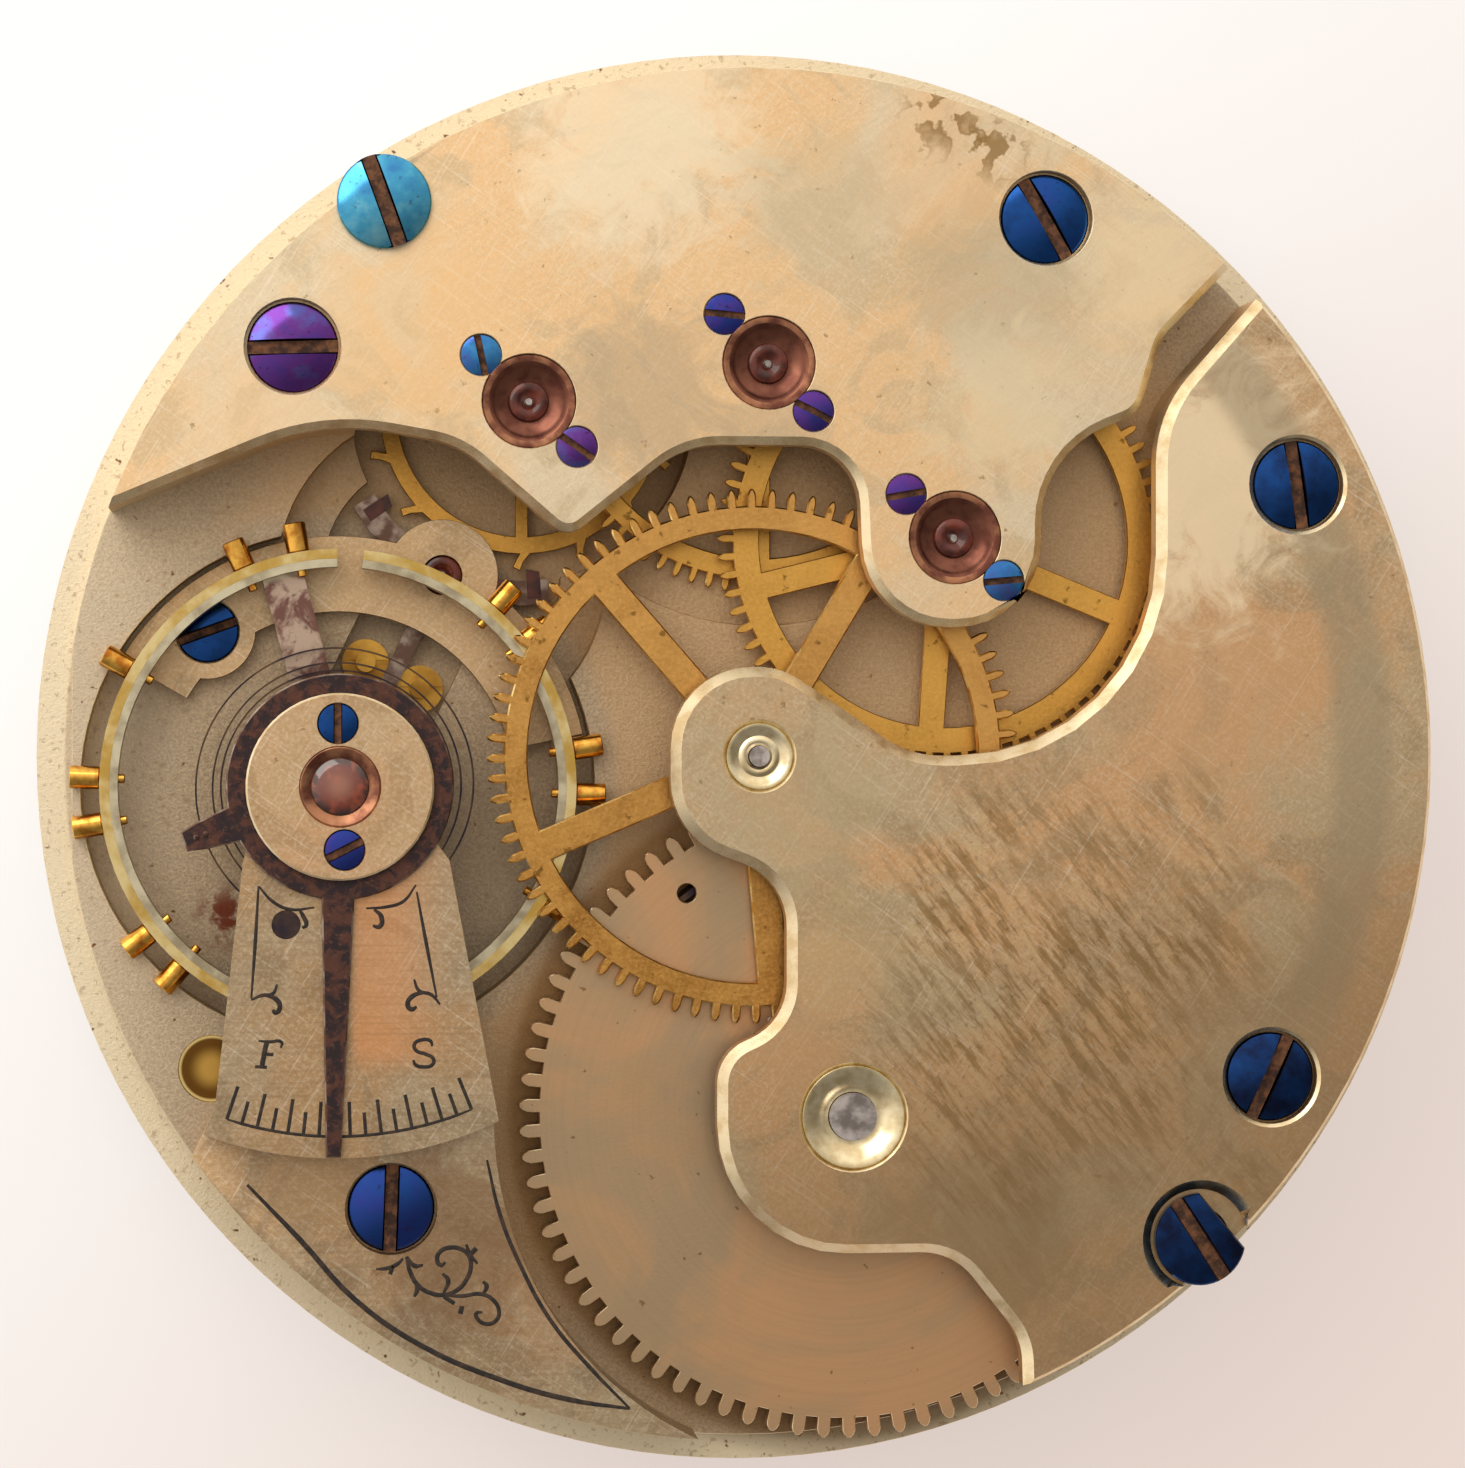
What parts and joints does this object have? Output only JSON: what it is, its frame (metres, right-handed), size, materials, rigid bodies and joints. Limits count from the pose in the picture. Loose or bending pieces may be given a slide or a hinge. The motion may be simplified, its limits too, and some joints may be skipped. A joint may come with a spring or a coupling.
{
  "type": "pocket watch movement",
  "caption": "Round bridge-model pocket watch movement with a cut balance, wheel train, going barrel and lever escapement that turn in a plate and bridges.",
  "frame": {"origin": "centre of the pillar plate's dial face, on the axis of the centre wheel", "axes": "+Z out of the train side, away from the dial; +X along the winding stem's way out; +Y towards the seconds pivot"},
  "size_m": [0.0432, 0.0432, 0.0085],
  "materials": {
    "nickel_plate": "frosted nickel over brass, aged",
    "barrel_nickel": "nickel, turned with fine rings",
    "blued_steel": "heat blued, polished",
    "garnet_jewel": "polished garnet",
    "cap_jewel": "polished orange red jewel",
    "brass": "polished brass",
    "gilt_brass": "frosted gilding",
    "polished_steel": "polished steel",
    "dark_steel": "steel with brown rust"
  },
  "bodies": {
    "frame": {"pillar_plate": "nickel_plate", "train_bridge": "nickel_plate", "barrel_bridge": "nickel_plate", "balance_cock": "nickel_plate", "pallet_bridge": "nickel_plate", "plate_screws": "blued_steel", "cock_screw": "blued_steel", "pallet_bridge_screw": "blued_steel", "jewel_screws": "blued_steel", "cap_screws": "blued_steel", "train_jewel_settings": "garnet_jewel", "train_jewels": "garnet_jewel", "lower_jewels": "garnet_jewel", "center_bushing": "brass", "barrel_bushing": "brass", "balance_cap": "nickel_plate", "balance_cap_jewel": "cap_jewel", "balance_hole_jewel": "garnet_jewel", "lower_cap_jewel": "garnet_jewel", "dial_foot_bush": "brass", "banking_screws": "brass", "wheel_posts": "polished_steel", "click_spring": "polished_steel", "hairspring": "blued_steel", "hairspring_stud": "blued_steel"},
    "case_screw_upper_body": {"case_screw_upper": "blued_steel"},
    "case_screw_lower_body": {"case_screw_lower": "blued_steel"},
    "barrel_body": {"barrel": "barrel_nickel", "barrel_cover": "barrel_nickel", "mainspring": "polished_steel"},
    "arbor_body": {"barrel_arbor": "polished_steel", "ratchet_wheel": "polished_steel"},
    "idler_body": {"winding_idler": "polished_steel"},
    "crown_body": {"crown_wheel": "polished_steel"},
    "winding_pinion_body": {"winding_pinion": "polished_steel"},
    "clutch_body": {"clutch": "polished_steel"},
    "lever_body": {"setting_lever": "polished_steel"},
    "click_body": {"click": "polished_steel"},
    "center_body": {"center_wheel": "gilt_brass", "center_pinion": "polished_steel", "cannon_pinion": "polished_steel"},
    "third_body": {"third_wheel": "brass", "third_pinion": "polished_steel"},
    "fourth_body": {"fourth_wheel": "brass", "fourth_pinion": "polished_steel"},
    "escape_body": {"escape_wheel": "brass", "escape_pinion": "polished_steel"},
    "minute_body": {"minute_wheel": "brass"},
    "hour_body": {"hour_wheel": "brass"},
    "fork_body": {"pallet_fork": "polished_steel", "pallet_stones": "garnet_jewel", "pallet_arbor": "polished_steel"},
    "balance_body": {"balance_arms": "polished_steel", "balance_rim": "brass", "timing_screws": "brass", "balance_staff": "polished_steel", "roller_table": "polished_steel", "roller_jewel": "garnet_jewel", "collet": "polished_steel"},
    "regulator_body": {"regulator": "dark_steel"}
  },
  "joints": [
    {"name": "fourth_turn", "type": "hinge", "parent": "frame", "child": "fourth_body", "pos_m": [0.00029, 0.0118, 0.0035], "axis": [0, 0, 1], "continuous": true},
    {"name": "escape_turn", "type": "hinge", "parent": "frame", "child": "escape_body", "pos_m": [-0.00691, 0.01058, 0.002], "axis": [0, 0, 1], "continuous": true},
    {"name": "third_turn", "type": "hinge", "parent": "frame", "child": "third_body", "pos_m": [0.00594, 0.00659, 0.004], "axis": [0, 0, 1], "continuous": true},
    {"name": "center_turn", "type": "hinge", "parent": "frame", "child": "center_body", "pos_m": [0, 0, 0.004], "axis": [0, 0, 1], "continuous": true},
    {"name": "barrel_turn", "type": "hinge", "parent": "frame", "child": "barrel_body", "pos_m": [0.00284, -0.01083, 0.003], "axis": [0, 0, 1], "continuous": true},
    {"name": "minute_turn", "type": "hinge", "parent": "frame", "child": "minute_body", "pos_m": [0.00312, 0.0018, 0.0005], "axis": [0, 0, 1], "continuous": true},
    {"name": "hour_turn", "type": "hinge", "parent": "frame", "child": "hour_body", "pos_m": [0, 0, 0.0002], "axis": [0, 0, 1], "continuous": true},
    {"name": "arbor_turn", "type": "hinge", "parent": "frame", "child": "arbor_body", "pos_m": [0.00284, -0.01083, 0.0044], "axis": [0, 0, 1], "continuous": true},
    {"name": "idler_turn", "type": "hinge", "parent": "frame", "child": "idler_body", "pos_m": [0.00867, -0.00521, 0.0045], "axis": [0, 0, 1], "continuous": true},
    {"name": "crown_turn", "type": "hinge", "parent": "frame", "child": "crown_body", "pos_m": [0.01393, 0, 0.0045], "axis": [0, 0, 1], "continuous": true},
    {"name": "winding_pinion_turn", "type": "hinge", "parent": "frame", "child": "winding_pinion_body", "pos_m": [0.01588, 0, 0.002], "axis": [1, 0, 0], "continuous": true},
    {"name": "setting_lever_turn", "type": "hinge", "parent": "frame", "child": "lever_body", "pos_m": [0.01491, 0.0035, 0.002], "axis": [0, 0, -1], "range_deg": [0, 10]},
    {"name": "clutch_slide", "type": "slide", "parent": "frame", "child": "clutch_body", "axis": [-1, 0, 0], "range_m": [0, 0.0004]},
    {"name": "click_turn", "type": "hinge", "parent": "frame", "child": "click_body", "pos_m": [0.00832, -0.01374, 0.0045], "axis": [0, 0, 1], "range_deg": [0, 10]},
    {"name": "fork_turn", "type": "hinge", "parent": "frame", "child": "fork_body", "pos_m": [-0.00937, 0.00553, 0.00155], "axis": [0, 0, 1], "range_deg": [-4.5, 4.5]},
    {"name": "balance_turn", "type": "hinge", "parent": "frame", "child": "balance_body", "pos_m": [-0.01251, -0.0009, 0.003], "axis": [0, 0, 1], "range_deg": [-270, 270]},
    {"name": "regulator_turn", "type": "hinge", "parent": "frame", "child": "regulator_body", "pos_m": [-0.01251, -0.0009, 0.0059], "axis": [0, 0, 1], "range_deg": [-16, 16]},
    {"name": "case_screw_upper_turn", "type": "hinge", "parent": "frame", "child": "case_screw_upper_body", "pos_m": [-0.01121, 0.01644, 0.006], "axis": [0, 0, 1], "continuous": true},
    {"name": "case_screw_lower_turn", "type": "hinge", "parent": "frame", "child": "case_screw_lower_body", "pos_m": [0.01347, -0.01465, 0.006], "axis": [0, 0, 1], "continuous": true}
  ],
  "couplings": [
    {"joint": "escape_turn", "follows": "fourth_turn", "ratio": -10},
    {"joint": "third_turn", "follows": "fourth_turn", "ratio": -0.13333},
    {"joint": "center_turn", "follows": "fourth_turn", "ratio": 0.016667},
    {"joint": "barrel_turn", "follows": "fourth_turn", "ratio": -0.0025641},
    {"joint": "minute_turn", "follows": "fourth_turn", "ratio": -0.0055556},
    {"joint": "hour_turn", "follows": "fourth_turn", "ratio": 0.0013889},
    {"joint": "idler_turn", "follows": "arbor_turn", "ratio": -0.8},
    {"joint": "crown_turn", "follows": "arbor_turn", "ratio": 1.2414},
    {"joint": "winding_pinion_turn", "follows": "arbor_turn", "ratio": -1.8947},
    {"joint": "setting_lever_turn", "follows": "clutch_slide", "rad_per_m": 400}
  ]
}
